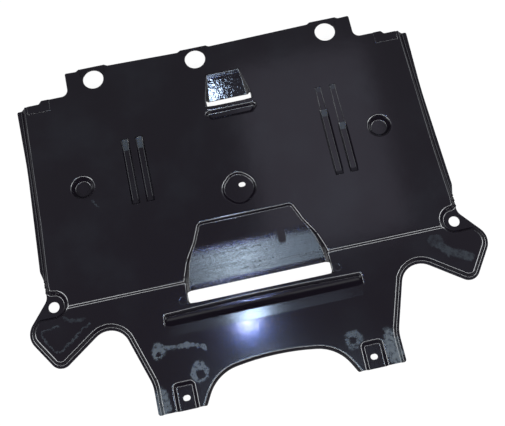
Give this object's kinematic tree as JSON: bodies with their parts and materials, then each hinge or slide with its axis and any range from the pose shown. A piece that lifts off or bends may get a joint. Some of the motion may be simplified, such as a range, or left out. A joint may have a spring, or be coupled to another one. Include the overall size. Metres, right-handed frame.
{
  "type": "engine splash shield",
  "caption": "Moulded plastic pan that closes an engine bay from below, with air scoops, slots, cups and bolt ears on its rim.",
  "frame": {"origin": "centre of the bounding box in plan, at the plane the shield rests on when it lies road side up", "axes": "+Z from the engine side to the road side, +Y towards the vehicle's front edge of the shield, +X across, so that the off-centre small scoop lies at positive X"},
  "size_m": [0.7818, 0.6316, 0.0192],
  "materials": {
    "black_plastic": "semi-gloss moulded polypropylene"
  },
  "bodies": {
    "root": {"splash_shield": "black_plastic"}
  },
  "joints": []
}
